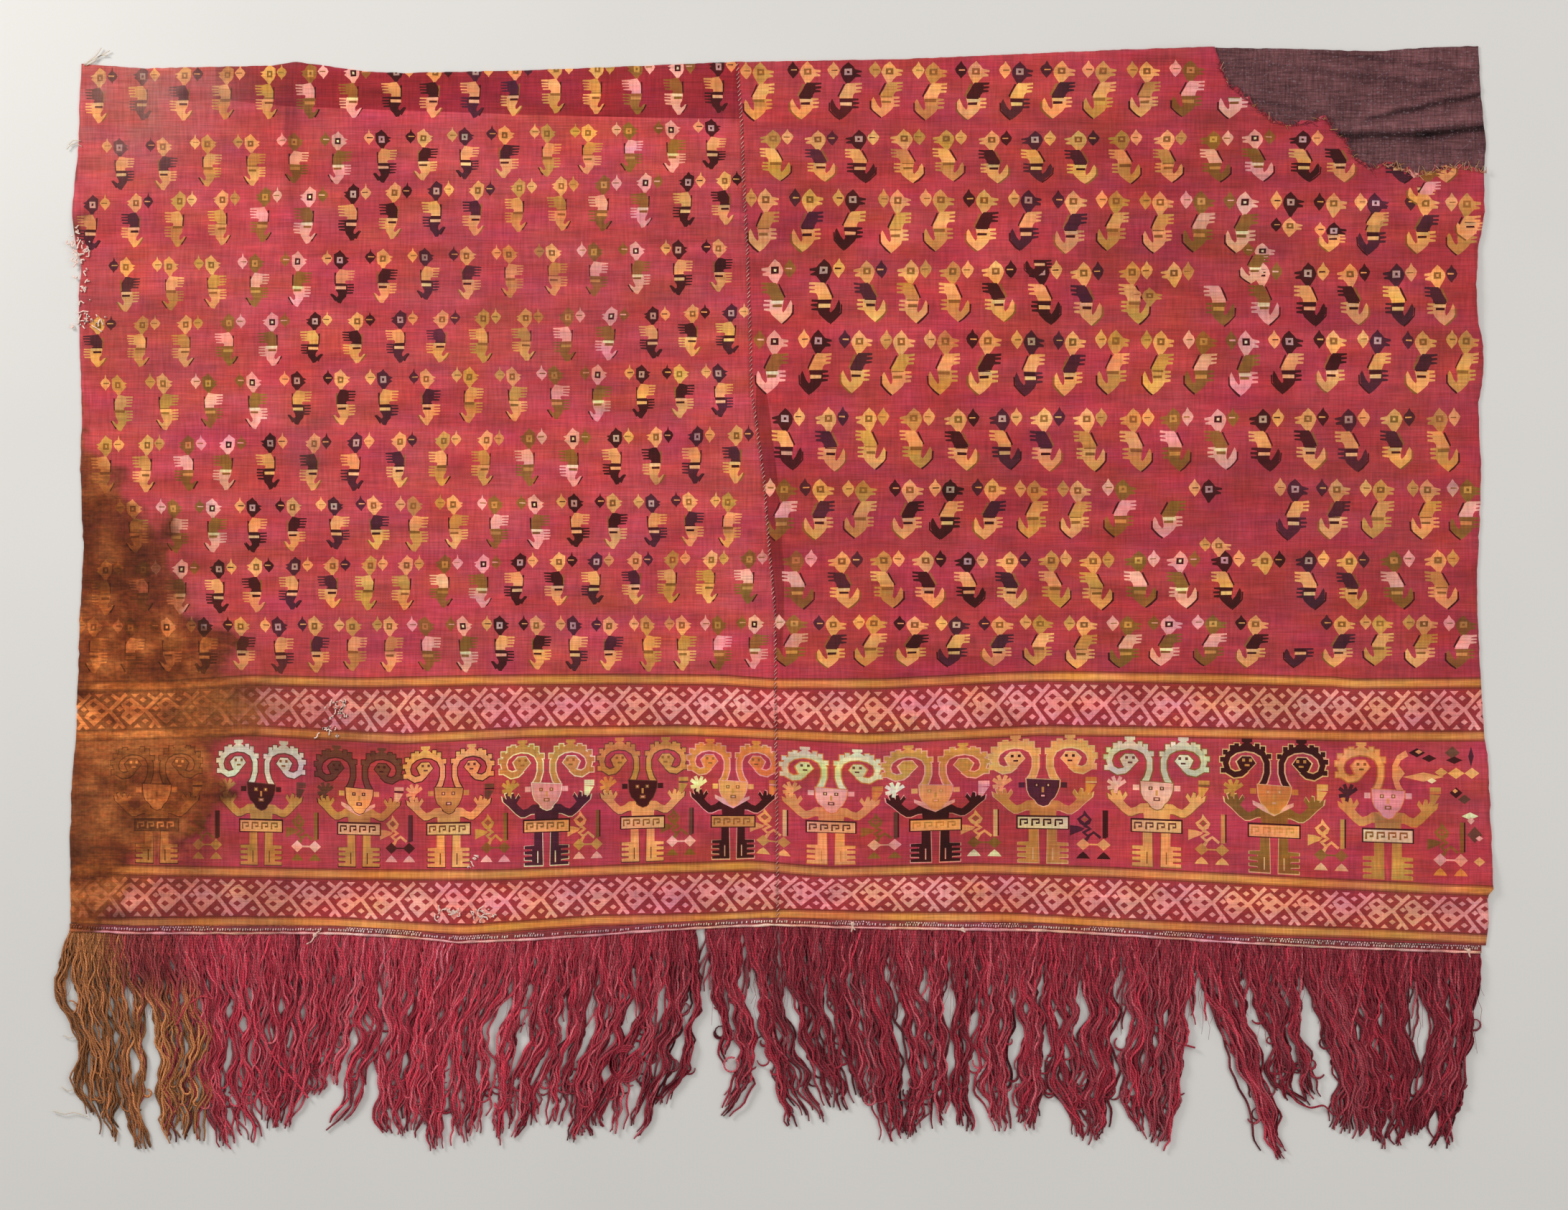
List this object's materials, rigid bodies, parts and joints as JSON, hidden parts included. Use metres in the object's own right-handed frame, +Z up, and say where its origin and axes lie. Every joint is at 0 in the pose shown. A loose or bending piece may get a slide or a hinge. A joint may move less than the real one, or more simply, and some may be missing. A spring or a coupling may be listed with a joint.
{
  "type": "woven mantle",
  "caption": "Rectangular woven mantle of joined cloth webs with rows of bird motifs, striped border bands and a yarn fringe, laid flat and face up, one torn corner backed with plain cloth.",
  "frame": {"origin": "under the middle of the whole mantle, on the surface that it lies on", "axes": "+X across both webs, left to right as the face is seen, +Y towards the plain top edge away from the fringe, +Z up out of the decorated face"},
  "size_m": [1.5403, 1.196, 0.0052],
  "materials": {
    "web_tapestry": "rose-crimson wool tapestry weave with faint ribs",
    "backing_cloth": "purple-brown plain weave",
    "fringe_yarn": "crimson plied wool yarn"
  },
  "bodies": {
    "root": {"left_web": "web_tapestry", "right_web": "web_tapestry", "corner_patch": "backing_cloth", "fringe": "fringe_yarn"}
  },
  "joints": []
}
